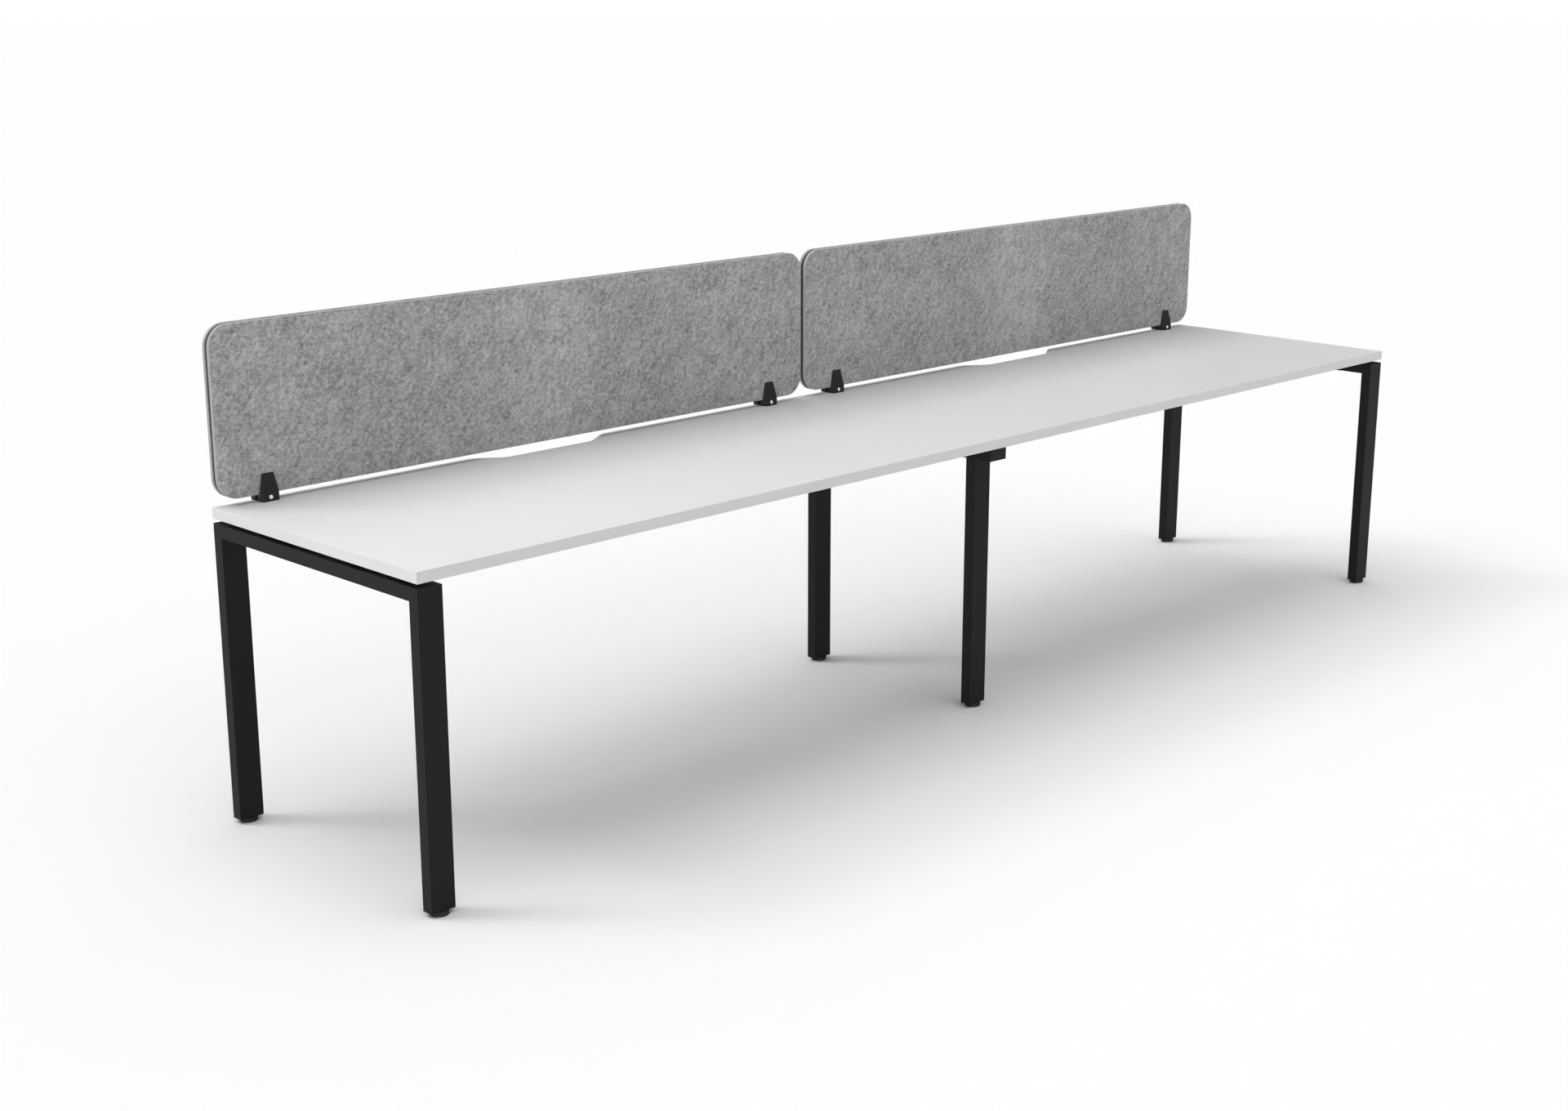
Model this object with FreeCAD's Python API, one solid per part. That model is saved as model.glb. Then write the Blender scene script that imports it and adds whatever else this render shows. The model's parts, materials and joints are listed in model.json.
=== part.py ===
import FreeCAD, Part
import os

# Two-seat single-sided bench workstation, in millimetres: +Z up, +X along the desk, the seats on the -Y side.
# The origin is on the floor, in the middle of the footprint.

# Worktops
WORKTOP_LENGTH = 1800.0
WORKTOP_DEPTH = 750.0
WORKTOP_THICKNESS = 25.0
WORKTOP_HEIGHT = 730.0
EDGE_BAND = 2.0
EDGE_ROUND = 0.6

# Cable scallop in each rear edge
SCALLOP_MOUTH = 415.0
SCALLOP_FLAT = 265.0
SCALLOP_DEPTH = 50.0
SCALLOP_RADIUS = 35.0

# Leg frames of rectangular tube
TUBE_WIDE = 60.0
TUBE_NARROW = 30.0
TUBE_WALL = 2.0
TUBE_CORNER = 1.0
FLOAT_GAP = 10.0
CENTRE_BAR_SETBACK = 30.0
CENTRE_LEG_SETBACK = 80.0
CAP_THICKNESS = 3.0
CAP_PLUG = 15.0
PLUG_CLEARANCE = 0.15

# Levelling feet
FOOT_DIAMETER = 40.0
FOOT_HEIGHT = 10.0
FOOT_ROUND = 1.2
STEM_DIAMETER = 10.0
STEM_REACH = 40.0
STEM_CHAMFER = 1.0
STEM_COLLAR = 18.0
COLLAR_HEIGHT = 3.0
COLLAR_LIFT = 2.5
FOOT_CLEARANCE = 0.1
INSERT_HEIGHT = 30.0

# Longitudinal rails
RAIL_WIDTH = 25.0
RAIL_WALL = 2.0
RAIL_CORNER = 1.5
RAIL_SETBACK = 130.0
PLATE_THICKNESS = 4.0
PLATE_WIDTH = 85.0
PLATE_BOLT_SPACING = 60.0
BOLT_DIAMETER = 6.0
BOLT_HEAD = 11.0
BOLT_HEAD_HEIGHT = 4.0
BOLT_SOCKET = 4.0
RIVET_NUT = 9.0
RIVET_NUT_LENGTH = 16.0
RIVET_COLLAR = 12.0
RIVET_COLLAR_HEIGHT = 3.0
BOLT_CLEARANCE = 0.15

# Shares of a screw head's height
HEAD_ROUND = 0.6
HEAD_FLOOR = 0.33

# Worktop spacers and screws
SPACER_DIAMETER = 24.0
SPACER_SETBACK = 250.0
SCREW_DIAMETER = 5.0
SCREW_HEAD = 10.0
SCREW_HEAD_HEIGHT = 3.0
SCREW_BITE = 18.0
SCREW_CLEARANCE = 0.15
ACCESS_HOLE = 14.0
RAIL_SCREWS_EACH = 3

# Screens
SCREEN_GAP = 16.0
SCREEN_HEIGHT = 384.0
SCREEN_LIFT = 16.0
SCREEN_SETBACK = 3.0
SCREEN_RADIUS = 50.0
FELT = 9.0
FELT_ROUND = 1.0
CORE = 9.0
CORE_INSET = 2.0

# Screen brackets
BRACKET_INSET = 123.0
BRACKET_WIDTH = 45.0
BRACKET_TOP_WIDTH = 30.0
BRACKET_HEIGHT = 62.5
BRACKET_TOE = 13.0
BRACKET_TIP = 2.0
BRACKET_PLAN_RADIUS = 7.0
BRACKET_TOP_RADIUS = 4.0
BRACKET_CHAMFER = 0.8
BRIDGE_RECESS = 4.0
BRIDGE_CLEARANCE = 0.5
CLAMP_HEIGHT = 9.0
CLAMP_DIAMETER = 5.0
CLAMP_HEAD = 9.5
CLAMP_HEAD_HEIGHT = 2.4
CLAMP_SEAT = 1.4
CLAMP_SOCKET = 3.0
BARREL_DIAMETER = 7.0
BARREL_OVERLAP = 12.0
CLAMP_CLEARANCE = 0.1
FIXING_SPACING = 27.0
FIXING_BITE = 10.0

# Holes worked out from the sizes above
SCREW_HOLE = SCREW_DIAMETER + 2 * SCREW_CLEARANCE
BOLT_HOLE = BOLT_DIAMETER + 2 * BOLT_CLEARANCE
CLAMP_HOLE = CLAMP_DIAMETER + 2 * CLAMP_CLEARANCE

# Heights worked out from the sizes above
WORKTOP_BOTTOM = WORKTOP_HEIGHT - WORKTOP_THICKNESS
BAR_TOP = WORKTOP_BOTTOM - FLOAT_GAP
BAR_BOTTOM = BAR_TOP - TUBE_NARROW
BAR_MIDDLE = (BAR_TOP + BAR_BOTTOM) / 2
LEG_BOTTOM = FOOT_HEIGHT
SCREEN_BOTTOM = WORKTOP_HEIGHT + SCREEN_LIFT

# The footprint is centred on the origin: the feet pass the front edge and the brackets the rear edge
FOOT_PROUD = max(0.0, (FOOT_DIAMETER - TUBE_NARROW) / 2)
BRACKET_PROUD = BRACKET_TOE - SCREEN_SETBACK
REAR_PROUD = max(FOOT_PROUD, BRACKET_PROUD)
FRONT_Y = -(WORKTOP_DEPTH + REAR_PROUD - FOOT_PROUD) / 2
REAR_Y = FRONT_Y + WORKTOP_DEPTH
SCREEN_MIDDLE_Y = REAR_Y - SCREEN_SETBACK - FELT - CORE / 2

SIDES = {"left": -1, "right": 1}
PLACES = ("front", "rear")
X, Y, Z = range(3)
NEAR = 1e-6


def from_end(side, near, far):
    """X limits at two distances in from the left or right end."""
    first = SIDES[side] * (WORKTOP_LENGTH - near)
    second = SIDES[side] * (WORKTOP_LENGTH - far)
    return min(first, second), max(first, second)


def from_edge(place, near, far):
    """Y limits at two distances in from the front or rear edge."""
    if place == "front":
        return FRONT_Y + near, FRONT_Y + far
    return REAR_Y - far, REAR_Y - near


def middle(limits):
    return (limits[0] + limits[1]) / 2


def about(centre, size):
    return centre - size / 2, centre + size / 2


def block(x, y, z):
    """Box between three pairs of limits."""
    corner = FreeCAD.Vector(x[0], y[0], z[0])
    return Part.makeBox(x[1] - x[0], y[1] - y[0], z[1] - z[0], corner)


def rod(diameter, start, end):
    """Cylinder between two points."""
    start = FreeCAD.Vector(*start)
    axis = FreeCAD.Vector(*end) - start
    return Part.makeCylinder(diameter / 2, axis.Length, start, axis)


def prism(points, sweep):
    """Solid made by sweeping a closed outline along a vector."""
    corners = [FreeCAD.Vector(*point) for point in points]
    outline = Part.makePolygon(corners + corners[:1])
    return Part.Face(outline).extrude(FreeCAD.Vector(*sweep))


def edges_along(shape, axis):
    """Straight edges that run along one axis."""
    found = []
    for edge in shape.Edges:
        if len(edge.Vertexes) == 2:
            run = edge.Vertexes[1].Point - edge.Vertexes[0].Point
            if abs(abs(run[axis]) - run.Length) < NEAR and abs(edge.Length - run.Length) < NEAR:
                found.append(edge)
    return found


def tube(limits, axis, wall, corner):
    """Hollow rectangular tube between limits, open at both ends of one axis."""
    outer = block(*limits)
    outer = outer.makeFillet(corner, edges_along(outer, axis))
    hollow = []
    for k, (low, high) in enumerate(limits):
        hollow.append((low, high) if k == axis else (low + wall, high - wall))
    return outer.cut(block(*hollow))


def socket_head(diameter, height, socket, seat, outward):
    """Low button head on its seat point, with a hexagon socket, facing along outward."""
    direction = FreeCAD.Vector(*outward)
    up = FreeCAD.Vector(0, 0, 1)
    head = rod(diameter, (0, 0, 0), (0, 0, height))
    rim = [edge for edge in head.Edges if edge.BoundBox.ZMin > height - NEAR]
    head = head.makeFillet(height * HEAD_ROUND, rim)
    corners = []
    for k in range(6):
        turn = FreeCAD.Rotation(up, 360 / 6 * k)
        corners.append(turn.multVec(FreeCAD.Vector(socket / 3 ** 0.5, 0, height * HEAD_FLOOR)))
    head = head.cut(prism([tuple(corner) for corner in corners], (0, 0, height)))
    head.Placement = FreeCAD.Placement(FreeCAD.Vector(*seat), FreeCAD.Rotation(up, direction))
    return head


def worktop_outline(side):
    """Worktop solid at its finished size, with the cable scallop in the rear edge."""
    x = from_end(side, 0, WORKTOP_LENGTH)
    centre = middle(x)
    mouth = about(centre, SCALLOP_MOUTH)
    flat = about(centre, SCALLOP_FLAT)
    cut_y = REAR_Y - SCALLOP_DEPTH
    corners = [
        (x[0], FRONT_Y), (x[1], FRONT_Y), (x[1], REAR_Y), (mouth[1], REAR_Y),
        (flat[1], cut_y), (flat[0], cut_y), (mouth[0], REAR_Y), (x[0], REAR_Y)]
    solid = prism([(corner_x, y, WORKTOP_BOTTOM) for corner_x, y in corners], (0, 0, WORKTOP_THICKNESS))
    bends = [edge for edge in edges_along(solid, Z)
             if min(abs(edge.Vertexes[0].X - place) for place in mouth + flat) < NEAR]
    return solid.makeFillet(SCALLOP_RADIUS, bends)


def worktop_holes():
    """Every screw hole that comes up into the worktops from below."""
    holes = []
    blind_top = WORKTOP_BOTTOM + SCREW_BITE + SCREW_CLEARANCE
    for x, y in SPACER_PLACES + RAIL_SCREW_PLACES:
        holes.append(rod(SCREW_HOLE, (x, y, WORKTOP_BOTTOM), (x, y, blind_top)))
    for x, y in FIXING_PLACES:
        holes.append(rod(SCREW_HOLE, (x, y, WORKTOP_BOTTOM), (x, y, WORKTOP_HEIGHT)))
    return holes


def worktop(side):
    """Board and the edge band round it."""
    whole = worktop_outline(side)
    floor = [face for face in whole.Faces if abs(face.BoundBox.ZMax - WORKTOP_BOTTOM) < NEAR][0]
    inner = floor.OuterWire.makeOffset2D(-EDGE_BAND, 2)
    board = Part.Face(inner).extrude(FreeCAD.Vector(0, 0, WORKTOP_THICKNESS))
    seam = [edge for edge in whole.Edges if abs(edge.BoundBox.XMin) + abs(edge.BoundBox.XMax) < NEAR]
    arris = [edge for edge in whole.Edges
             if edge.BoundBox.ZLength < NEAR and not any(edge.isSame(other) for other in seam)]
    band = whole.makeFillet(EDGE_ROUND, arris).cut(board)
    return board.cut(Part.makeCompound(worktop_holes())), band


def mitre(x, place, above):
    """Half of the square corner between a leg and its crossbar, above or below the 45 degree joint."""
    outer = FRONT_Y if place == "front" else REAR_Y
    inner = FRONT_Y + TUBE_NARROW if place == "front" else REAR_Y - TUBE_NARROW
    third = (inner, BAR_TOP) if above else (outer, BAR_BOTTOM)
    points = [(x[0], y, z) for y, z in ((outer, BAR_TOP), (inner, BAR_BOTTOM), third)]
    return prism(points, (x[1] - x[0], 0, 0))


def end_leg(side, place):
    x = from_end(side, 0, TUBE_WIDE)
    y = from_edge(place, 0, TUBE_NARROW)
    leg = tube((x, y, (LEG_BOTTOM, BAR_TOP)), Z, TUBE_WALL, TUBE_CORNER)
    return leg.cut(mitre(x, place, True))


def end_crossbar(side):
    x = from_end(side, 0, TUBE_WIDE)
    bar = tube((x, (FRONT_Y, REAR_Y), (BAR_BOTTOM, BAR_TOP)), Y, TUBE_WALL, TUBE_CORNER)
    for place in PLACES:
        bar = bar.cut(mitre(x, place, False))
    return bar.cut(Part.makeCompound(crossbar_holes(x)))


def centre_leg(place):
    x = about(0.0, TUBE_WIDE)
    y = from_edge(place, CENTRE_LEG_SETBACK, CENTRE_LEG_SETBACK + TUBE_NARROW)
    return tube((x, y, (LEG_BOTTOM, BAR_BOTTOM)), Z, TUBE_WALL, TUBE_CORNER)


def centre_crossbar():
    x = about(0.0, TUBE_WIDE)
    setback = CENTRE_BAR_SETBACK + CAP_THICKNESS
    y = FRONT_Y + setback, REAR_Y - setback
    bar = tube((x, y, (BAR_BOTTOM, BAR_TOP)), Y, TUBE_WALL, TUBE_CORNER)
    return bar.cut(Part.makeCompound(crossbar_holes(x)))


def crossbar_cap(place):
    """Plastic cap on an open end of the centre crossbar: a flush plate with a plug behind it."""
    plug_start = CENTRE_BAR_SETBACK + CAP_THICKNESS
    plate_y = from_edge(place, CENTRE_BAR_SETBACK, plug_start)
    plate = block(about(0.0, TUBE_WIDE), plate_y, (BAR_BOTTOM, BAR_TOP))
    plate = plate.makeFillet(TUBE_CORNER, edges_along(plate, Y))
    inset = TUBE_WALL + PLUG_CLEARANCE
    plug_y = from_edge(place, plug_start, plug_start + CAP_PLUG)
    plug = block(about(0.0, TUBE_WIDE - 2 * inset), plug_y, (BAR_BOTTOM + inset, BAR_TOP - inset))
    return plate.fuse(plug).removeSplitter()


def crossbar_holes(x):
    """Holes in one crossbar for its worktop screws, their access from below, and its rivet nuts."""
    holes = []
    reach = 2 * TUBE_WALL
    for screw_x, y in SPACER_PLACES:
        if x[0] < screw_x < x[1]:
            holes.append(rod(SCREW_HOLE, (screw_x, y, BAR_MIDDLE), (screw_x, y, BAR_TOP)))
            holes.append(rod(ACCESS_HOLE, (screw_x, y, BAR_BOTTOM), (screw_x, y, BAR_MIDDLE)))
    for face_x, inward, y in BOLT_PLACES:
        if x[0] <= face_x <= x[1]:
            start = (face_x, y, BAR_MIDDLE)
            holes.append(rod(RIVET_NUT + 2 * BOLT_CLEARANCE, start, (face_x + inward * reach, y, BAR_MIDDLE)))
    return holes


def leg_insert(x, y):
    """Threaded plug pressed into the foot end of a leg."""
    inset = TUBE_WALL + PLUG_CLEARANCE
    z = LEG_BOTTOM, LEG_BOTTOM + INSERT_HEIGHT
    plug = block(about(x, TUBE_WIDE - 2 * inset), about(y, TUBE_NARROW - 2 * inset), z)
    return plug.cut(rod(STEM_DIAMETER + 2 * FOOT_CLEARANCE, (x, y, z[0]), (x, y, z[1])))


def foot_pad(x, y):
    """Round glide with a socket that holds the stem's collar."""
    pad = rod(FOOT_DIAMETER, (x, y, 0), (x, y, FOOT_HEIGHT))
    rims = [edge for edge in pad.Edges if edge.Curve.TypeId == "Part::GeomCircle"]
    pad = pad.makeFillet(FOOT_ROUND, rims)
    low = COLLAR_LIFT - FOOT_CLEARANCE
    high = COLLAR_LIFT + COLLAR_HEIGHT + FOOT_CLEARANCE
    pad = pad.cut(rod(STEM_COLLAR + 2 * FOOT_CLEARANCE, (x, y, low), (x, y, high)))
    return pad.cut(rod(STEM_DIAMETER + 2 * FOOT_CLEARANCE, (x, y, high), (x, y, FOOT_HEIGHT)))


def foot_stem(x, y):
    """Threaded stem with the collar that turns in the pad."""
    top = LEG_BOTTOM + STEM_REACH
    stem = rod(STEM_DIAMETER, (x, y, COLLAR_LIFT), (x, y, top))
    tip = [edge for edge in stem.Edges if edge.BoundBox.ZMin > top - NEAR]
    stem = stem.makeChamfer(STEM_CHAMFER, tip)
    collar = rod(STEM_COLLAR, (x, y, COLLAR_LIFT), (x, y, COLLAR_LIFT + COLLAR_HEIGHT))
    return stem.fuse(collar).removeSplitter()


def rail(side, place):
    """Rail tube between the end frame and the centre frame, with its screw and access holes."""
    x = from_end(side, TUBE_WIDE + PLATE_THICKNESS, WORKTOP_LENGTH - TUBE_WIDE / 2 - PLATE_THICKNESS)
    y = from_edge(place, RAIL_SETBACK, RAIL_SETBACK + RAIL_WIDTH)
    body = tube((x, y, (BAR_BOTTOM, WORKTOP_BOTTOM)), X, RAIL_WALL, RAIL_CORNER)
    centre_z = (BAR_BOTTOM + WORKTOP_BOTTOM) / 2
    for screw_x, screw_y in RAIL_SCREW_PLACES:
        if x[0] < screw_x < x[1] and y[0] < screw_y < y[1]:
            split = (screw_x, screw_y, centre_z)
            body = body.cut(rod(ACCESS_HOLE, (screw_x, screw_y, BAR_BOTTOM), split))
            body = body.cut(rod(SCREW_HOLE, split, (screw_x, screw_y, WORKTOP_BOTTOM)))
    return body


def rail_plate(face_x, inward, rail_y):
    """End plate welded to a rail and bolted to the side of a crossbar."""
    back_x = face_x - inward * PLATE_THICKNESS
    x = min(face_x, back_x), max(face_x, back_x)
    plate = block(x, about(rail_y, PLATE_WIDTH), (BAR_BOTTOM, WORKTOP_BOTTOM))
    for bolt_y in about(rail_y, PLATE_BOLT_SPACING):
        plate = plate.cut(rod(BOLT_HOLE, (back_x, bolt_y, BAR_MIDDLE), (face_x, bolt_y, BAR_MIDDLE)))
    return plate


def rail_bolt(face_x, inward, y):
    back_x = face_x - inward * PLATE_THICKNESS
    tip_x = face_x + inward * RIVET_NUT_LENGTH
    shank = rod(BOLT_DIAMETER, (back_x, y, BAR_MIDDLE), (tip_x, y, BAR_MIDDLE))
    seat = (back_x, y, BAR_MIDDLE)
    head = socket_head(BOLT_HEAD, BOLT_HEAD_HEIGHT, BOLT_SOCKET, seat, (-inward, 0, 0))
    return shank.fuse(head)


def rivet_nut(face_x, inward, y):
    """Threaded sleeve through the crossbar wall, upset into a collar behind it."""
    start = (face_x, y, BAR_MIDDLE)
    end = (face_x + inward * RIVET_NUT_LENGTH, y, BAR_MIDDLE)
    collar_x = face_x + inward * TUBE_WALL
    collar_end = (collar_x + inward * RIVET_COLLAR_HEIGHT, y, BAR_MIDDLE)
    collar = rod(RIVET_COLLAR, (collar_x, y, BAR_MIDDLE), collar_end)
    return rod(RIVET_NUT, start, end).fuse(collar).cut(rod(BOLT_HOLE, start, end)).removeSplitter()


def spacer(x, y):
    """Ring that carries a worktop above a crossbar."""
    ring = rod(SPACER_DIAMETER, (x, y, BAR_TOP), (x, y, WORKTOP_BOTTOM))
    return ring.cut(rod(SCREW_HOLE, (x, y, BAR_TOP), (x, y, WORKTOP_BOTTOM)))


def pan_screw(x, y, seat, tip):
    """Upright pan head screw, its head below the seat and its point at the tip."""
    head = rod(SCREW_HEAD, (x, y, seat - SCREW_HEAD_HEIGHT), (x, y, seat))
    rim = [edge for edge in head.Edges if edge.BoundBox.ZMax < seat - SCREW_HEAD_HEIGHT / 2]
    head = head.makeFillet(SCREW_HEAD_HEIGHT * HEAD_ROUND, rim)
    return head.fuse(rod(SCREW_DIAMETER, (x, y, seat), (x, y, tip)))


def screen_panel(side, y, inset, edge_round):
    """Upright panel with rounded corners, set in from the screen's outline."""
    x = from_end(side, inset, WORKTOP_LENGTH - SCREEN_GAP / 2 - inset)
    z = SCREEN_BOTTOM + inset, SCREEN_BOTTOM + SCREEN_HEIGHT - inset
    panel = block(x, y, z)
    panel = panel.makeFillet(SCREEN_RADIUS - inset, edges_along(panel, Y))
    if edge_round:
        rims = [edge for edge in panel.Edges if edge.BoundBox.YLength < NEAR]
        panel = panel.makeFillet(edge_round, rims)
    return panel


def leaning_face(solid):
    """The flat face of a bracket half that leans back from the user."""
    for face in solid.Faces:
        normal = face.normalAt(0, 0)
        if normal.y < -0.5 and normal.z > NEAR:
            return face


def bracket_half():
    """Front half of a screen bracket about the screen's middle plane, its foot on z = 0."""
    inner_y = -CORE / 2
    felt_y = inner_y - FELT
    toe_y = felt_y - BRACKET_TOE
    tip_y = felt_y - BRACKET_TIP
    half = BRACKET_WIDTH / 2
    top_half = BRACKET_TOP_WIDTH / 2
    side_outline = [(inner_y, 0), (inner_y, SCREEN_LIFT), (felt_y, SCREEN_LIFT),
                    (felt_y, BRACKET_HEIGHT), (tip_y, BRACKET_HEIGHT), (toe_y, 0)]
    side_view = prism([(-half, y, z) for y, z in side_outline], (BRACKET_WIDTH, 0, 0))
    front_outline = [(-half, 0), (half, 0), (half, SCREEN_LIFT), (top_half, BRACKET_HEIGHT),
                     (-top_half, BRACKET_HEIGHT), (-half, SCREEN_LIFT)]
    front_view = prism([(x, inner_y, z) for x, z in front_outline], (0, toe_y - inner_y, 0))
    tops = [edge for edge in edges_along(front_view, Y) if edge.BoundBox.ZMin > BRACKET_HEIGHT - NEAR]
    front_view = front_view.makeFillet(BRACKET_TOP_RADIUS, tops)
    plan_view = block((-half, half), (toe_y, inner_y), (0, BRACKET_HEIGHT))
    corners = [edge for edge in edges_along(plan_view, Z) if edge.BoundBox.YMax < toe_y + NEAR]
    plan_view = plan_view.makeFillet(BRACKET_PLAN_RADIUS, corners)
    solid = side_view.common(front_view).common(plan_view)
    rims = [edge for edge in leaning_face(solid).Edges if edge.BoundBox.ZMax > NEAR]
    return solid.makeChamfer(BRACKET_CHAMFER, rims)


def clamp_seat_y():
    """Depth of the spot face that a clamp head sits in, in the leaning face of a bracket half."""
    lean = (BRACKET_TOE - BRACKET_TIP) * CLAMP_HEIGHT / BRACKET_HEIGHT
    return -(CORE / 2 + FELT + BRACKET_TOE - lean - CLAMP_SEAT)


def bored_half(bore, fixings):
    """Bracket half with its clamp bore, the spot face for the head, and screw holes in its foot."""
    half = bracket_half()
    seat_y = clamp_seat_y()
    toe_y = -(CORE / 2 + FELT + BRACKET_TOE)
    seat = (0, seat_y, CLAMP_HEIGHT)
    half = half.cut(rod(bore + 2 * CLAMP_CLEARANCE, seat, (0, -CORE / 2, CLAMP_HEIGHT)))
    half = half.cut(rod(CLAMP_HEAD + 4 * CLAMP_CLEARANCE, (0, toe_y, CLAMP_HEIGHT), seat))
    for x, y in fixings:
        half = half.cut(rod(SCREW_HOLE, (x, y, 0), (x, y, FIXING_BITE + SCREW_CLEARANCE)))
    return half


def bracket_bridge():
    """Block between the two halves that stands in the gap between the felts."""
    x = about(0.0, BRACKET_WIDTH - 2 * BRIDGE_RECESS)
    bridge = block(x, about(0.0, CORE), (0, SCREEN_LIFT + CORE_INSET - BRIDGE_CLEARANCE))
    return bridge.cut(rod(CLAMP_HOLE, (0, -CORE / 2, CLAMP_HEIGHT), (0, CORE / 2, CLAMP_HEIGHT)))


def clamp_screw():
    seat_y = clamp_seat_y()
    tip_y = CORE / 2 + BARREL_OVERLAP
    head = socket_head(CLAMP_HEAD, CLAMP_HEAD_HEIGHT, CLAMP_SOCKET, (0, seat_y, CLAMP_HEIGHT), (0, -1, 0))
    return head.fuse(rod(CLAMP_DIAMETER, (0, seat_y, CLAMP_HEIGHT), (0, tip_y, CLAMP_HEIGHT)))


def barrel_nut():
    """Sleeve nut with a head like the screw's, in the rear half."""
    seat_y = -clamp_seat_y()
    start_y = CORE / 2
    head = socket_head(CLAMP_HEAD, CLAMP_HEAD_HEIGHT, CLAMP_SOCKET, (0, seat_y, CLAMP_HEIGHT), (0, 1, 0))
    barrel = head.fuse(rod(BARREL_DIAMETER, (0, start_y, CLAMP_HEIGHT), (0, seat_y, CLAMP_HEIGHT)))
    bore_end = start_y + BARREL_OVERLAP + CLAMP_CLEARANCE
    return barrel.cut(rod(CLAMP_HOLE, (0, start_y, CLAMP_HEIGHT), (0, bore_end, CLAMP_HEIGHT)))


def at_bracket(shape, x):
    """Copy of a shape moved from the bracket's own frame to its place on the worktop."""
    return shape.translated(FreeCAD.Vector(x, SCREEN_MIDDLE_Y, WORKTOP_HEIGHT))


def rail_places():
    """Each rail plate: the crossbar face it meets, the way into the crossbar, the rail's middle in Y."""
    places = []
    for side, sign in SIDES.items():
        outer_face = sign * (WORKTOP_LENGTH - TUBE_WIDE)
        inner_face = sign * TUBE_WIDE / 2
        for place in PLACES:
            rail_y = middle(from_edge(place, RAIL_SETBACK, RAIL_SETBACK + RAIL_WIDTH))
            places.append((outer_face, sign, rail_y))
            places.append((inner_face, -sign, rail_y))
    return places


def spacer_places():
    """Spacers on each crossbar, two per worktop end."""
    places = []
    for sign in SIDES.values():
        for x in (sign * (WORKTOP_LENGTH - TUBE_WIDE / 2), sign * TUBE_WIDE / 4):
            for place in PLACES:
                places.append((x, middle(from_edge(place, SPACER_SETBACK, SPACER_SETBACK))))
    return places


def rail_screw_places():
    places = []
    for side in SIDES:
        start, end = from_end(side, TUBE_WIDE, WORKTOP_LENGTH - TUBE_WIDE / 2)
        for place in PLACES:
            y = middle(from_edge(place, RAIL_SETBACK, RAIL_SETBACK + RAIL_WIDTH))
            for k in range(RAIL_SCREWS_EACH):
                places.append((start + (end - start) * (k + 0.5) / RAIL_SCREWS_EACH, y))
    return places


def bracket_places():
    """Middle of each bracket in X, by name."""
    places = {}
    for side in SIDES:
        outer, inner = BRACKET_INSET, WORKTOP_LENGTH - SCREEN_GAP / 2 - BRACKET_INSET
        places[side + "_outer"] = middle(from_end(side, outer, outer))
        places[side + "_inner"] = middle(from_end(side, inner, inner))
    return places


def leg_places():
    """Middle of each leg in X and Y, by name."""
    places = {}
    for place in PLACES:
        for side in SIDES:
            places[side + "_" + place] = (
                middle(from_end(side, 0, TUBE_WIDE)), middle(from_edge(place, 0, TUBE_NARROW)))
        places["centre_" + place] = (
            0.0, middle(from_edge(place, CENTRE_LEG_SETBACK, CENTRE_LEG_SETBACK + TUBE_NARROW)))
    return places


RAIL_PLATE_PLACES = rail_places()
BOLT_PLACES = [(face_x, inward, bolt_y) for face_x, inward, rail_y in RAIL_PLATE_PLACES
               for bolt_y in about(rail_y, PLATE_BOLT_SPACING)]
SPACER_PLACES = spacer_places()
RAIL_SCREW_PLACES = rail_screw_places()
BRACKET_PLACES = bracket_places()
FIXING_Y = -(CORE + FELT + BRACKET_TOE) / 2
FIXING_OFFSETS = [(x, FIXING_Y) for x in about(0.0, FIXING_SPACING)]
FIXING_PLACES = [(centre + x, SCREEN_MIDDLE_Y + y)
                 for centre in BRACKET_PLACES.values() for x, y in FIXING_OFFSETS]


def worktop_nodes():
    nodes = {}
    for side in SIDES:
        nodes["worktop_" + side], nodes["worktop_" + side + "_edge_band"] = worktop(side)
    return nodes


def frame_nodes():
    nodes = {}
    for side in SIDES:
        nodes[side + "_crossbar"] = end_crossbar(side)
        for place in PLACES:
            nodes[side + "_" + place + "_leg"] = end_leg(side, place)
            nodes[side + "_" + place + "_rail"] = rail(side, place)
    nodes["centre_crossbar"] = centre_crossbar()
    for place in PLACES:
        nodes["centre_" + place + "_leg"] = centre_leg(place)
        nodes["centre_crossbar_" + place + "_cap"] = crossbar_cap(place)
    nodes["rail_end_plates"] = Part.makeCompound([rail_plate(*place) for place in RAIL_PLATE_PLACES])
    nodes["rail_bolts"] = Part.makeCompound([rail_bolt(*place) for place in BOLT_PLACES])
    nodes["rail_rivet_nuts"] = Part.makeCompound([rivet_nut(*place) for place in BOLT_PLACES])
    return nodes


def foot_nodes():
    nodes = {}
    for name, (x, y) in leg_places().items():
        nodes[name + "_foot_pad"] = foot_pad(x, y)
        nodes[name + "_foot_stem"] = foot_stem(x, y)
    nodes["leg_inserts"] = Part.makeCompound([leg_insert(x, y) for x, y in leg_places().values()])
    return nodes


def worktop_fixing_nodes():
    spacer_seat = BAR_TOP - TUBE_WALL
    rail_seat = WORKTOP_BOTTOM - RAIL_WALL
    tip = WORKTOP_BOTTOM + SCREW_BITE
    return {
        "worktop_spacers": Part.makeCompound([spacer(x, y) for x, y in SPACER_PLACES]),
        "spacer_screws": Part.makeCompound([pan_screw(x, y, spacer_seat, tip) for x, y in SPACER_PLACES]),
        "rail_screws": Part.makeCompound([pan_screw(x, y, rail_seat, tip) for x, y in RAIL_SCREW_PLACES])}


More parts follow.
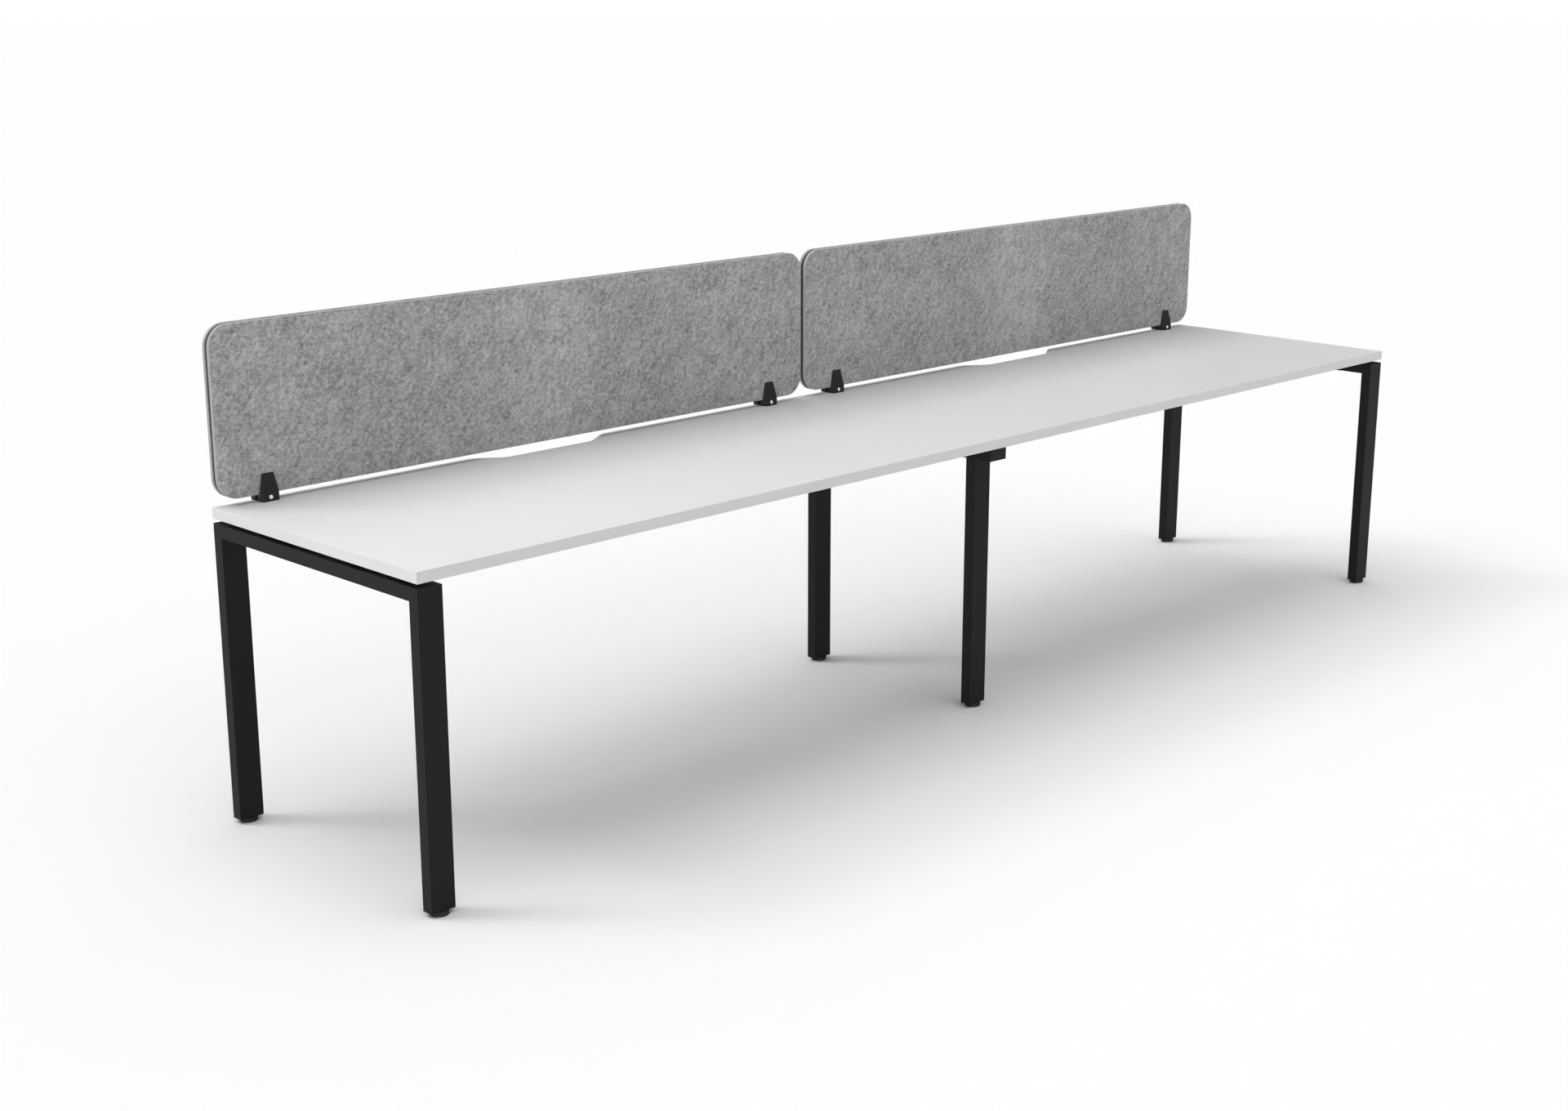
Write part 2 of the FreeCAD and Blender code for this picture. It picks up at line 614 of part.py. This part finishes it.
def screen_nodes():
    nodes = {}
    front_y = SCREEN_MIDDLE_Y - CORE / 2
    rear_y = SCREEN_MIDDLE_Y + CORE / 2
    for side in SIDES:
        nodes[side + "_screen_front_felt"] = screen_panel(side, (front_y - FELT, front_y), 0.0, FELT_ROUND)
        nodes[side + "_screen_core"] = screen_panel(side, (front_y, rear_y), CORE_INSET, 0.0)
        nodes[side + "_screen_rear_felt"] = screen_panel(side, (rear_y, rear_y + FELT), 0.0, FELT_ROUND)
    return nodes


def bracket_nodes():
    nodes = {}
    front = bored_half(CLAMP_DIAMETER, FIXING_OFFSETS)
    rear = bored_half(BARREL_DIAMETER, []).mirror(FreeCAD.Vector(0, 0, 0), FreeCAD.Vector(0, 1, 0))
    for name, x in BRACKET_PLACES.items():
        nodes[name + "_bracket_front"] = at_bracket(front, x)
        nodes[name + "_bracket_rear"] = at_bracket(rear, x)
    groups = {
        "bracket_bridges": bracket_bridge(),
        "bracket_clamp_screws": clamp_screw(),
        "bracket_clamp_nuts": barrel_nut()}
    for name, shape in groups.items():
        nodes[name] = Part.makeCompound([at_bracket(shape, x) for x in BRACKET_PLACES.values()])
    tip = WORKTOP_HEIGHT + FIXING_BITE
    nodes["bracket_fixing_screws"] = Part.makeCompound(
        [pan_screw(x, y, WORKTOP_BOTTOM, tip) for x, y in FIXING_PLACES])
    return nodes


def main():
    os.makedirs("parts", exist_ok=True)
    for make in (worktop_nodes, frame_nodes, foot_nodes, worktop_fixing_nodes, screen_nodes, bracket_nodes):
        for name, shape in make().items():
            shape.exportStep("parts/" + name + ".step")


main()
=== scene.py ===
import json
import math

import bmesh
import bpy
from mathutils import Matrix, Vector, noise

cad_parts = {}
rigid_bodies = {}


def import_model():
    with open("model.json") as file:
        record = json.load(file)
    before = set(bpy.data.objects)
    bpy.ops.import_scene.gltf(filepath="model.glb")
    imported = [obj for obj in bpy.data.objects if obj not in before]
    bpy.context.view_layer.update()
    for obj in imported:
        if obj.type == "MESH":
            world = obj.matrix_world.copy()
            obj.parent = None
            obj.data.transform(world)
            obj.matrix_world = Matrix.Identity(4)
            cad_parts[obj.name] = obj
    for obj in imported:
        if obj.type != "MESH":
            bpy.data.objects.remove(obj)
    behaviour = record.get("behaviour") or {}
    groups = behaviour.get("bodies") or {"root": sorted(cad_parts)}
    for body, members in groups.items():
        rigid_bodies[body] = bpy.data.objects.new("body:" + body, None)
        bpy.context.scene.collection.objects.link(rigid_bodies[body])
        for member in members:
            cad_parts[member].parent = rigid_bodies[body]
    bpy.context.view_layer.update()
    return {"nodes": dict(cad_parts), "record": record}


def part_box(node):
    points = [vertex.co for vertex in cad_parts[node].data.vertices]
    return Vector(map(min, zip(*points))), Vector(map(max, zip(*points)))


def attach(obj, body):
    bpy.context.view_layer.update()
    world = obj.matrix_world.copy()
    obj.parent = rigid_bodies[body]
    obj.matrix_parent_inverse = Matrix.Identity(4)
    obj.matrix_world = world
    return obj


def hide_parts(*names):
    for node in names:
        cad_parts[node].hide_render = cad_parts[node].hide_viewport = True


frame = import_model()

# Camera, fitted to the photograph's straight edges
CAMERA_PLACE = (-4.172, -3.7567, 1.8534)
CAMERA_TURN = (75.0, 0.0, -45.0)
CAMERA_LENS = 50.0
CAMERA_SENSOR = 36.0

# Stage
FLOOR_SIZE = 800.0
FLOOR_WHITE = 0.806
BACKDROP_RADIUS = 90.0
BACKDROP_HEIGHT = 60.0
BACKDROP_SIDES = 96
BACKDROP_GLOW = 1.2
SKY_STRENGTH = 0.035

# Lamp over the left worktop
LAMP_PLACE = (-2.8, 0.28, 2.3)
LAMP_AIM = (-1.15, -0.3, 0.73)
LAMP_SIZE = 0.8
LAMP_SPREAD = 60.0
LAMP_POWER = 2.05

# Suns: the way each shines, its width in degrees and its strength
SUN_PLACE = (0.0, 0.0, 4.0)
SUNS = {
    "ceiling": ((0.0, 0.0, -1.0), 120.0, 2.056),
    "overhead": ((0.0, 0.0, -1.0), 40.0, 0.811),
    "key": ((0.45, -0.45, -1.0), 25.0, 0.481),
    "low_key": ((0.7, -0.7, -1.0), 15.0, 0.443)}
FILL_SUN = ((0.7, 0.7, -0.1), 60.0, 1.6)
REAR_SUN = ((0.0, -1.0, -0.35), 30.0, 0.75)
FLOOR_SUN = ((0.1, 1.5, -1.0), 50.0, 0.285)

# Tones of the materials, from 0 for black to 1 for white, and the gloss of the plastics
WORKTOP_WHITE = 0.607
WORKTOP_CLOUD = 0.01
# Painted light: the edging's upright sides are a little lighter than its top, which takes the board's
# white.
EDGE_SIDE_TONES_PAINTED_LIGHTER = (0.61, 0.63)
COAT_TONES = (0.006, 0.011)
PLASTIC_TONES = (0.012, 0.019)
PLASTIC_GLOSS = 0.3
CAP_TONES = (0.006, 0.01)
CAP_GLOSS = 0.2
CORE_TONES = (0.045, 0.07)
# Zinc tones: near-white on a mostly matt metal, a painted reflection of bright surroundings.
ZINC_DULL_PAINTED_REFLECTION = (0.95, 0.95, 0.96, 1.0)
ZINC_BRIGHT_PAINTED_REFLECTION = (0.98, 0.98, 0.98, 1.0)
FELT_GREY = 0.314
FELT_RIM = 0.39
FELT_COOL = (0.978, 0.986, 1.026)
FELT_WARM = (1.022, 0.996, 0.979)

# Felt fibres: how far each layer lightens and darkens the grey, its lay, and half a screen's place
FELT_WISP = 0.19
FELT_GRAIN = 0.36
FELT_STRAND = 0.26
FELT_FIBRE = 0.07
FELT_STREAK = (0.02, 0.1)
FELT_MIDDLE = 0.2
FELT_ENDS = 0.05
FELT_BAND_TINT = 0.08
FELT_LAY = (0.78, 1.0, 1.0)
FELT_REPEAT = 0.9

# Shape of the felt panels
FELT_CORNER = 0.05
FELT_ROLL = 0.0022
FELT_BACK_ROLL = 0.001
ROLL_STEPS = 5
CORNER_STEPS = 10
SIDE_STEP = 0.012
RING_STEP = 0.016
FELT_WAVE = 0.0003
FELT_WAVE_SCALE = 14.0
SMALLEST_CORNER = 0.0015

# Threads of the levelling feet
THREAD_PITCH = 0.0015
THREAD_DEPTH = 0.0009
THREAD_ROW = THREAD_PITCH / 8
THREAD_SIDES = 32
TIP_CHAMFER = 0.0012
COLLAR_HEIGHT = 0.003
COLLAR_EDGE = COLLAR_HEIGHT / 10
STEM_RADIUS = 0.005


class Look:
    """A material whose nodes are put together one by one."""

    def __init__(self, name, **sockets):
        self.material = bpy.data.materials.new(name)
        self.material.use_nodes = True
        self.tree = self.material.node_tree
        self.shader = self.tree.nodes["Principled BSDF"]
        self.place = self.tree.nodes.new("ShaderNodeTexCoord")
        for socket, value in sockets.items():
            self.shader.inputs[socket.replace("_", " ")].default_value = value

    def node(self, kind, **settings):
        made = self.tree.nodes.new(kind)
        for name, value in settings.items():
            setattr(made, name, value)
        return made

    def link(self, source, target):
        self.tree.links.new(source, target)

    def feed(self, target, value):
        """Gives an input another node's output, or a plain value."""
        if isinstance(value, bpy.types.NodeSocket):
            self.link(value, target)
        else:
            target.default_value = value

    def noise(self, scale, detail=3.0, roughness=0.55, stretch=(1, 1, 1), offset=(0, 0, 0),
              turn=0.0, warp=0.0):
        """Noise in the object's own metres; scale is in waves per metre, turn in degrees about y."""
        turned = self.node("ShaderNodeMapping")
        turned.inputs["Rotation"].default_value = (0.0, math.radians(turn), 0.0)
        mapping = self.node("ShaderNodeMapping")
        mapping.inputs["Scale"].default_value = stretch
        mapping.inputs["Location"].default_value = offset
        self.link(self.place.outputs["Object"], turned.inputs["Vector"])
        self.link(turned.outputs["Vector"], mapping.inputs["Vector"])
        made = self.node("ShaderNodeTexNoise")
        made.inputs["Scale"].default_value = scale
        made.inputs["Detail"].default_value = detail
        made.inputs["Roughness"].default_value = roughness
        made.inputs["Distortion"].default_value = warp
        self.link(mapping.outputs["Vector"], made.inputs["Vector"])
        return made.outputs["Fac"]

    def spread(self, value, low, high, start=0.3, end=0.7):
        """Maps the range from start to end, a noise's middle range unless given, to low and high."""
        made = self.node("ShaderNodeMapRange")
        self.feed(made.inputs["Value"], value)
        made.inputs["From Min"].default_value = start
        made.inputs["From Max"].default_value = end
        made.inputs["To Min"].default_value = low
        made.inputs["To Max"].default_value = high
        return made.outputs["Result"]

    def around(self, value, reach):
        """Maps a noise's middle range to values from -reach to reach."""
        return self.spread(value, -reach, reach)

    def sums(self, operation, first, second=0.0):
        """One sum of two values; the second is left out where the operation takes one."""
        made = self.node("ShaderNodeMath", operation=operation)
        self.feed(made.inputs[0], first)
        self.feed(made.inputs[1], second)
        return made.outputs["Value"]

    def total(self, first, *others):
        """Adds several values, one after another."""
        for other in others:
            first = self.sums("ADD", first, other)
        return first

    def mix(self, share, first, second, blend="MIX"):
        """Mixes two colours."""
        made = self.node("ShaderNodeMix", data_type="RGBA", blend_type=blend)
        self.feed(made.inputs[0], share)
        self.feed(made.inputs[6], first)
        self.feed(made.inputs[7], second)
        return made.outputs[2]

    def greys(self, value, tones):
        """Mixes two greys by a noise's middle range."""
        dark, light = tones
        return self.mix(self.spread(value, 0.0, 1.0), grey(dark), grey(light))

    def colour(self, value):
        self.link(value, self.shader.inputs["Base Color"])

    def rough(self, value):
        self.link(value, self.shader.inputs["Roughness"])

    def bump(self, height, depth, strength):
        """Raises the surface by a height of 0 to 1 times depth, in metres."""
        made = self.node("ShaderNodeBump")
        made.inputs["Strength"].default_value = strength
        made.inputs["Distance"].default_value = depth
        self.link(height, made.inputs["Height"])
        self.link(made.outputs["Normal"], self.shader.inputs["Normal"])


def grey(value):
    return (value, value, value, 1.0)


def tinted(shares):
    """The felt's grey with its red, green and blue scaled."""
    return [FELT_GREY * share for share in shares] + [1.0]


def melamine():
    """White melamine face with the faint pebble of a press plate."""
    look = Look("melamine_white", Specular_IOR_Level=0.3)
    tones = (WORKTOP_WHITE - WORKTOP_CLOUD, WORKTOP_WHITE + WORKTOP_CLOUD)
    look.colour(look.greys(look.noise(scale=2.5, detail=4.0), tones))
    look.rough(look.spread(look.noise(scale=60.0), low=0.42, high=0.5))
    look.bump(look.noise(scale=1400.0), depth=0.00008, strength=0.5)
    return look.material


def edge_band():
    """White plastic edging, a little smoother than the board, with fine drawn lines along it, and
    painted light: its upright sides a little lighter than its top.
    """
    look = Look("edge_band_white", Specular_IOR_Level=0.35)
    side = look.greys(look.noise(scale=6.0), EDGE_SIDE_TONES_PAINTED_LIGHTER)
    # Painted light: faces that point up take the board's white, the upright sides a slightly lighter
    # tone.
    normal = look.node("ShaderNodeSeparateXYZ")
    look.link(look.node("ShaderNodeNewGeometry").outputs["Normal"], normal.inputs["Vector"])
    top_share_beside_painted_sides = look.spread(normal.outputs["Z"], low=0.0, high=1.0, start=0.6, end=0.95)
    look.colour(look.mix(top_share_beside_painted_sides, side, grey(WORKTOP_WHITE)))
    look.rough(look.spread(look.noise(scale=80.0), low=0.38, high=0.46))
    lines = look.noise(scale=900.0, detail=2.0, stretch=(0.05, 0.05, 1.0))
    look.bump(lines, depth=0.00004, strength=0.4)
    return look.material


def powder_coat():
    """Matt black powder coat: a fine even grain with a slight orange peel under it."""
    look = Look("frame_black", Specular_IOR_Level=0.16)
    grain = look.noise(scale=1600.0)
    peel = look.noise(scale=220.0, detail=2.0)
    look.colour(look.greys(grain, COAT_TONES))
    look.rough(look.spread(grain, low=0.46, high=0.6))
    height = look.total(look.sums("MULTIPLY", grain, 0.6), look.sums("MULTIPLY", peel, 0.4))
    look.bump(height, depth=0.0002, strength=0.5)
    return look.material


def moulded_plastic(name, tones, gloss):
    """Black moulded plastic with a spark-eroded grain."""
    look = Look(name, Specular_IOR_Level=gloss)
    grain = look.noise(scale=1100.0, detail=4.0, roughness=0.65)
    look.colour(look.greys(grain, tones))
    look.rough(look.spread(grain, low=0.45, high=0.62))
    look.bump(grain, depth=0.00015, strength=0.5)
    return look.material


def zinc():
    """Zinc plate with light tumbling marks, near-white and mostly matt: its brightness is a painted
    reflection of bright surroundings.
    """
    look = Look("steel_zinc", Metallic=0.15)
    # Painted reflection: the near-white colour stands in for bright surroundings mirrored in the metal.
    patch = look.spread(look.noise(scale=400.0), low=0.0, high=1.0)
    look.colour(look.mix(patch, ZINC_DULL_PAINTED_REFLECTION, ZINC_BRIGHT_PAINTED_REFLECTION))
    look.rough(look.spread(look.noise(scale=1500.0), low=0.32, high=0.42))
    look.bump(look.noise(scale=2500.0, detail=2.0), depth=0.00003, strength=0.4)
    return look.material


def felt_shade(look, wisp, grain, fibre, band, along):
    """How light the felt is: layers of fibre, faint upright streaks and each screen's lighter middle."""
    strand = look.noise(scale=60.0, roughness=0.7, stretch=(1.5, 1.0, 0.6), offset=(5.7, 0, 2.2),
                        turn=-35.0, warp=0.6)
    streak = look.noise(scale=1.0, roughness=0.6, stretch=(130.0, 150.0, 9.0))
    depth = look.spread(band, *FELT_STREAK, start=-1.0, end=1.0)
    wide = look.sums("COSINE", look.sums("MULTIPLY", along, math.pi / FELT_REPEAT))
    ridge = look.sums("POWER", look.spread(band, low=0.0, high=1.0, start=-1.0, end=1.0), 3.0)
    middle = look.sums("MULTIPLY", ridge, look.spread(wide, FELT_MIDDLE, 0.0, start=-1.0, end=1.0))
    ends = look.spread(wide, 0.0, FELT_ENDS, start=-1.0, end=1.0)
    return look.total(
        look.spread(wisp, 1.0 - FELT_WISP, 1.0 + FELT_WISP), look.around(grain, FELT_GRAIN),
        look.around(strand, FELT_STRAND), look.around(fibre, FELT_FIBRE),
        look.sums("MULTIPLY", depth, look.around(streak, 1.0)), look.total(middle, ends))


def felt():
    """Pressed fibre felt: grain, slanting strands and wisps in cool and warm greys, with a paler rim."""
    look = Look("felt_grey", Specular_IOR_Level=0.1, Sheen_Weight=0.1, Sheen_Roughness=0.6,
                Roughness=0.95)
    wisp = look.noise(scale=11.0, detail=5.0, roughness=0.85, stretch=FELT_LAY, offset=(2.3, 0, 0.7),
                      warp=0.5)
    grain = look.noise(scale=120.0, detail=2.0, roughness=0.85, stretch=FELT_LAY, offset=(0.4, 0, 0.9))
    fibre = look.noise(scale=1.0, roughness=0.6, stretch=(900.0, 1300.0, 1000.0))
    speck = look.noise(scale=48.0, offset=(3.1, 0, 1.7))
    place = look.node("ShaderNodeSeparateXYZ")
    look.link(look.place.outputs["Object"], place.inputs["Vector"])
    along = place.outputs["X"]
    band = look.sums("COSINE", look.sums("MULTIPLY", along, 2 * math.pi / FELT_REPEAT))
    tint = look.total(speck, wisp, look.sums("MULTIPLY", band, FELT_BAND_TINT))
    tint = look.spread(tint, low=0.0, high=1.0, start=0.7, end=1.3)
    tone = look.mix(tint, tinted(FELT_COOL), tinted(FELT_WARM))
    shade = felt_shade(look, wisp, grain, fibre, band, along)
    shades = look.node("ShaderNodeCombineColor")
    for channel in ("Red", "Green", "Blue"):
        look.link(shade, shades.inputs[channel])
    tone = look.mix(1.0, tone, shades.outputs["Color"], "MULTIPLY")
    rim = look.node("ShaderNodeAttribute", attribute_name="rim")
    look.colour(look.mix(rim.outputs["Fac"], tone, grey(FELT_RIM)))
    height = look.total(look.sums("MULTIPLY", fibre, 0.5), look.sums("MULTIPLY", grain, 0.5))
    look.bump(height, depth=0.0006, strength=0.6)
    return look.material


def core_board():
    """Dark fibre board in the gap between the two felts."""
    look = Look("core_dark", Specular_IOR_Level=0.1, Roughness=0.95)
    tuft = look.noise(scale=500.0, detail=4.0)
    look.colour(look.greys(tuft, CORE_TONES))
    look.bump(tuft, depth=0.0004, strength=0.5)
    return look.material


def dress_nodes():
    """Gives every CAD node its slot's material, the caps a darker one; returns the materials by slot."""
    looks = {
        "melamine_white": melamine(),
        "edge_band_white": edge_band(),
        "frame_black": powder_coat(),
        "plastic_black": moulded_plastic("plastic_black", PLASTIC_TONES, PLASTIC_GLOSS),
        "steel_zinc": zinc(),
        "felt_grey": felt(),
        "core_dark": core_board()}
    cap = moulded_plastic("cap_black", CAP_TONES, CAP_GLOSS)
    for part in frame["record"]["subparts"]:
        piece = frame["nodes"][part["node"]]
        material = cap if part["node"].endswith("_cap") else looks[part["material_slot"]]
        piece.data.materials.clear()
        piece.data.materials.append(material)
    return looks


def finished_piece(mesh, name, material):
    """Makes a scene object of a finished mesh."""
    data = bpy.data.meshes.new(name)
    mesh.to_mesh(data)
    mesh.free()
    piece = bpy.data.objects.new(name, data)
    bpy.context.scene.collection.objects.link(piece)
    data.materials.append(material)
    return piece


def thread_radius(height, turn, bottom, top):
    """Radius of a threaded shank at a height and an angle, with a chamfered tip and a plain root."""
    wave = (height / THREAD_PITCH - turn) % 1.0
    ridge = 1.0 - abs(2.0 * wave - 1.0)
    fade = min(1.0, (height - bottom) / THREAD_PITCH)
    radius = STEM_RADIUS - THREAD_DEPTH * (1.0 - ridge) * fade
    return min(radius, STEM_RADIUS - TIP_CHAMFER + max(0.0, top - height))


def ring(mesh, centre, radii, height):
    """One loop of points round the stem."""
    loop = []
    for side, radius in enumerate(radii):
        angle = 2 * math.pi * side / len(radii)
        point = Vector((radius * math.cos(angle), radius * math.sin(angle), height))
        loop.append(mesh.verts.new(centre + point))
    return loop


def foot_stem(node, body, material):
    """Threaded stem with a round collar at its foot, in place of the plain CAD one."""
    low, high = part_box(node)
    centre = Vector(((low.x + high.x) / 2, (low.y + high.y) / 2, 0.0))
    collar = (high.x - low.x) / 2
    shoulder = low.z + COLLAR_HEIGHT
    outline = (
        (collar - COLLAR_EDGE, low.z), (collar, low.z + COLLAR_EDGE), (collar, shoulder - COLLAR_EDGE),
        (collar - COLLAR_EDGE, shoulder), (STEM_RADIUS, shoulder))
    mesh = bmesh.new()
    rings = [ring(mesh, centre, [radius] * THREAD_SIDES, height) for radius, height in outline]
    rows = round((high.z - shoulder) / THREAD_ROW)
    for row in range(1, rows + 1):
        height = shoulder + (high.z - shoulder) * row / rows
        radii = [thread_radius(height, side / THREAD_SIDES, shoulder, high.z)
                 for side in range(THREAD_SIDES)]
        rings.append(ring(mesh, centre, radii, height))
    for lower, upper in zip(rings, rings[1:]):
        for side in range(THREAD_SIDES):
            after = (side + 1) % THREAD_SIDES
            mesh.faces.new((lower[side], lower[after], upper[after], upper[side]))
    mesh.faces.new(rings[0][::-1])
    mesh.faces.new(rings[-1])
    stem = finished_piece(mesh, node + "_threaded", material)
    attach(stem, body)
    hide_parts(node)


def foot_stems(material):
    """The stem of every levelling foot."""
    for body, nodes in frame["record"]["behaviour"]["bodies"].items():
        if body.endswith("_stem"):
            foot_stem(nodes[0], body, material)


def panel_ring(low, high, inset):
    """Points round a panel's rounded outline in x and z, set in from its edge."""
    radius = max(FELT_CORNER - inset, SMALLEST_CORNER)
    left, right = low.x + inset + radius, high.x - inset - radius
    bottom, top = low.z + inset + radius, high.z - inset - radius
    full_x = high.x - low.x - 2 * FELT_CORNER
    full_z = high.z - low.z - 2 * FELT_CORNER
    points = []
    corners = ((right, top), (left, top), (left, bottom), (right, bottom))
    for quarter, (x, z) in enumerate(corners):
        for step in range(CORNER_STEPS + 1):
            angle = math.radians(90 * (quarter + step / CORNER_STEPS))
            points.append(Vector((x + radius * math.cos(angle), 0.0, z + radius * math.sin(angle))))
        next_x, next_z = corners[(quarter + 1) % len(corners)]
        turn = math.radians(90 * (quarter + 1))
        start = points[-1]
        end = Vector((next_x + radius * math.cos(turn), 0.0, next_z + radius * math.sin(turn)))
        steps = round((full_x if quarter % 2 == 0 else full_z) / SIDE_STEP)
        points += [start.lerp(end, step / steps) for step in range(1, steps)]
    return points


def roll(radius):
    """Inset and depth of the steps of a rounded edge, from the face to the side."""
    steps = [math.radians(90 * step / ROLL_STEPS) for step in range(ROLL_STEPS + 1)]
    return [(radius * (1 - math.sin(angle)), radius * (1 - math.cos(angle))) for angle in steps]


def panel_rings(height, thickness):
    """Inset, depth and share of rim of each ring of a panel, from the middle of its face to its back."""
    reach = height / 2 - SMALLEST_CORNER
    count = round(reach / RING_STEP)
    rings = [(FELT_ROLL + (reach - FELT_ROLL) * step / count, 0.0, 0.0) for step in range(count, 0, -1)]
    rings += [(inset, depth, 1.0 - inset / FELT_ROLL) for inset, depth in roll(FELT_ROLL)]
    rings += [(inset, thickness - depth, 1.0 - inset / FELT_BACK_ROLL)
              for inset, depth in reversed(roll(FELT_BACK_ROLL))]
    return rings


def felt_panel(node, outward, material):
    """Pressed felt panel with rolled edges and a slightly uneven face; outward is -1 or 1 along y."""
    low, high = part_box(node)
    face = low.y if outward < 0 else high.y
    mesh = bmesh.new()
    rim = mesh.verts.layers.float.new("rim")
    loops = []
    for inset, depth, share in panel_rings(high.z - low.z, high.y - low.y):
        loop = []
        for point in panel_ring(low, high, inset):
            uneven = inset > FELT_ROLL
            wave = FELT_WAVE * abs(noise.noise(point * FELT_WAVE_SCALE)) if uneven else 0.0
            point.y = face - outward * (depth + wave)
            vertex = mesh.verts.new(point)
            vertex[rim] = share
            loop.append(vertex)
        loops.append(loop)
    for inner, outer in zip(loops, loops[1:]):
        for index in range(len(inner)):
            after = (index + 1) % len(inner)
            mesh.faces.new((inner[index], inner[after], outer[after], outer[index]))
    mesh.faces.new(loops[0])
    mesh.faces.new(loops[-1])
    bmesh.ops.recalc_face_normals(mesh, faces=mesh.faces[:])
    for side in mesh.faces:
        side.smooth = True
    panel = finished_piece(mesh, node + "_soft", material)
    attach(panel, "desk")
    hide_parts(node)


def felt_panels(material):
    """The front and rear felts of both screens."""
    for side in ("left", "right"):
        felt_panel(side + "_screen_front_felt", -1, material)
        felt_panel(side + "_screen_rear_felt", 1, material)


def stage_object(name, points, faces, look):
    """Makes a scene object of plain points and faces."""
    data = bpy.data.meshes.new(name)
    data.from_pydata(points, [], faces)
    made = bpy.data.objects.new(name, data)
    bpy.context.scene.collection.objects.link(made)
    data.materials.append(look.material)
    return made


def floor():
    """Plain pale floor."""
    half = FLOOR_SIZE / 2
    corners = [(-half, -half, 0), (half, -half, 0), (half, half, 0), (-half, half, 0)]
    look = Look("floor_pale", Base_Color=grey(FLOOR_WHITE), Specular_IOR_Level=0.0, Roughness=1.0)
    ground = stage_object("floor", corners, [(0, 1, 2, 3)], look)
    return ground


def backdrop():
    """White wall round the far floor, which shows behind the part in low views and casts no light."""
    angles = [2 * math.pi * side / BACKDROP_SIDES for side in range(BACKDROP_SIDES)]
    points = [(BACKDROP_RADIUS * math.cos(angle), BACKDROP_RADIUS * math.sin(angle), height)
              for height in (0.0, BACKDROP_HEIGHT) for angle in angles]
    faces = []
    for side in range(BACKDROP_SIDES):
        after = (side + 1) % BACKDROP_SIDES
        faces.append((side, after, BACKDROP_SIDES + after, BACKDROP_SIDES + side))
    look = Look("backdrop_white", Base_Color=grey(0.0), Specular_IOR_Level=0.0,
                Emission_Color=grey(1.0), Emission_Strength=BACKDROP_GLOW)
    wall = stage_object("backdrop", points, faces, look)
    wall.visible_diffuse = False
    wall.visible_glossy = False
    wall.visible_shadow = False


def lamp(name, kind, place, way, **settings):
    """One lamp at a place, shining along a direction."""
    data = bpy.data.lights.new(name, kind)
    for setting, value in settings.items():
        setattr(data, setting, value)
    made = bpy.data.objects.new(name, data)
    bpy.context.scene.collection.objects.link(made)
    made.location = place
    made.rotation_mode = "QUATERNION"
    made.rotation_quaternion = Vector(way).to_track_quat("-Z", "Y")
    return made


def sun(name, way, width, strength):
    return lamp(name, "SUN", SUN_PLACE, way, energy=strength, angle=math.radians(width))


def flag(light, things, state):
    """Keeps a lamp's light off some things (EXCLUDE) or on them alone (INCLUDE), as a flag would."""
    flagged = bpy.data.collections.new(light.name + "_flag")
    for thing in things:
        flagged.objects.link(thing)
    for linked in flagged.collection_objects:
        linked.light_linking.link_state = state
    light.light_linking.receiver_collection = flagged


def sky():
    """Dim white sky."""
    world = bpy.data.worlds.new("studio")
    world.use_nodes = True
    background = world.node_tree.nodes["Background"]
    background.inputs["Color"].default_value = grey(1.0)
    background.inputs["Strength"].default_value = SKY_STRENGTH
    bpy.context.scene.world = world


def lights(ground):
    """Suns over the whole stage, and four lights that are each kept to a part of it."""
    for name, settings in SUNS.items():
        sun(name, *settings)
    felts = [piece for piece in bpy.data.objects if piece.name.endswith("_felt_soft")]
    worktops = [frame["nodes"]["worktop_left"], frame["nodes"]["worktop_right"]]
    lamp_way = Vector(LAMP_AIM) - Vector(LAMP_PLACE)
    worktop_lamp = lamp("worktop_lamp", "AREA", LAMP_PLACE, lamp_way, energy=LAMP_POWER, size=LAMP_SIZE,
                        spread=math.radians(LAMP_SPREAD))
    flag(worktop_lamp, [ground] + felts, "EXCLUDE")
    flag(sun("fill", *FILL_SUN), [ground] + worktops, "EXCLUDE")
    flag(sun("rear_fill", *REAR_SUN), [ground] + felts, "EXCLUDE")
    flag(sun("floor_sun", *FLOOR_SUN), [ground], "INCLUDE")


def camera():
    """Camera of the photograph's view."""
    data = bpy.data.cameras.new("camera")
    data.lens = CAMERA_LENS
    data.sensor_width = CAMERA_SENSOR
    data.clip_end = FLOOR_SIZE
    eye = bpy.data.objects.new("camera", data)
    eye.location = CAMERA_PLACE
    eye.rotation_euler = [math.radians(angle) for angle in CAMERA_TURN]
    bpy.context.scene.collection.objects.link(eye)
    bpy.context.scene.camera = eye


looks = dress_nodes()
foot_stems(looks["steel_zinc"])
felt_panels(looks["felt_grey"])
ground = floor()
backdrop()
sky()
lights(ground)
camera()
bpy.context.scene.view_settings.view_transform = "Standard"
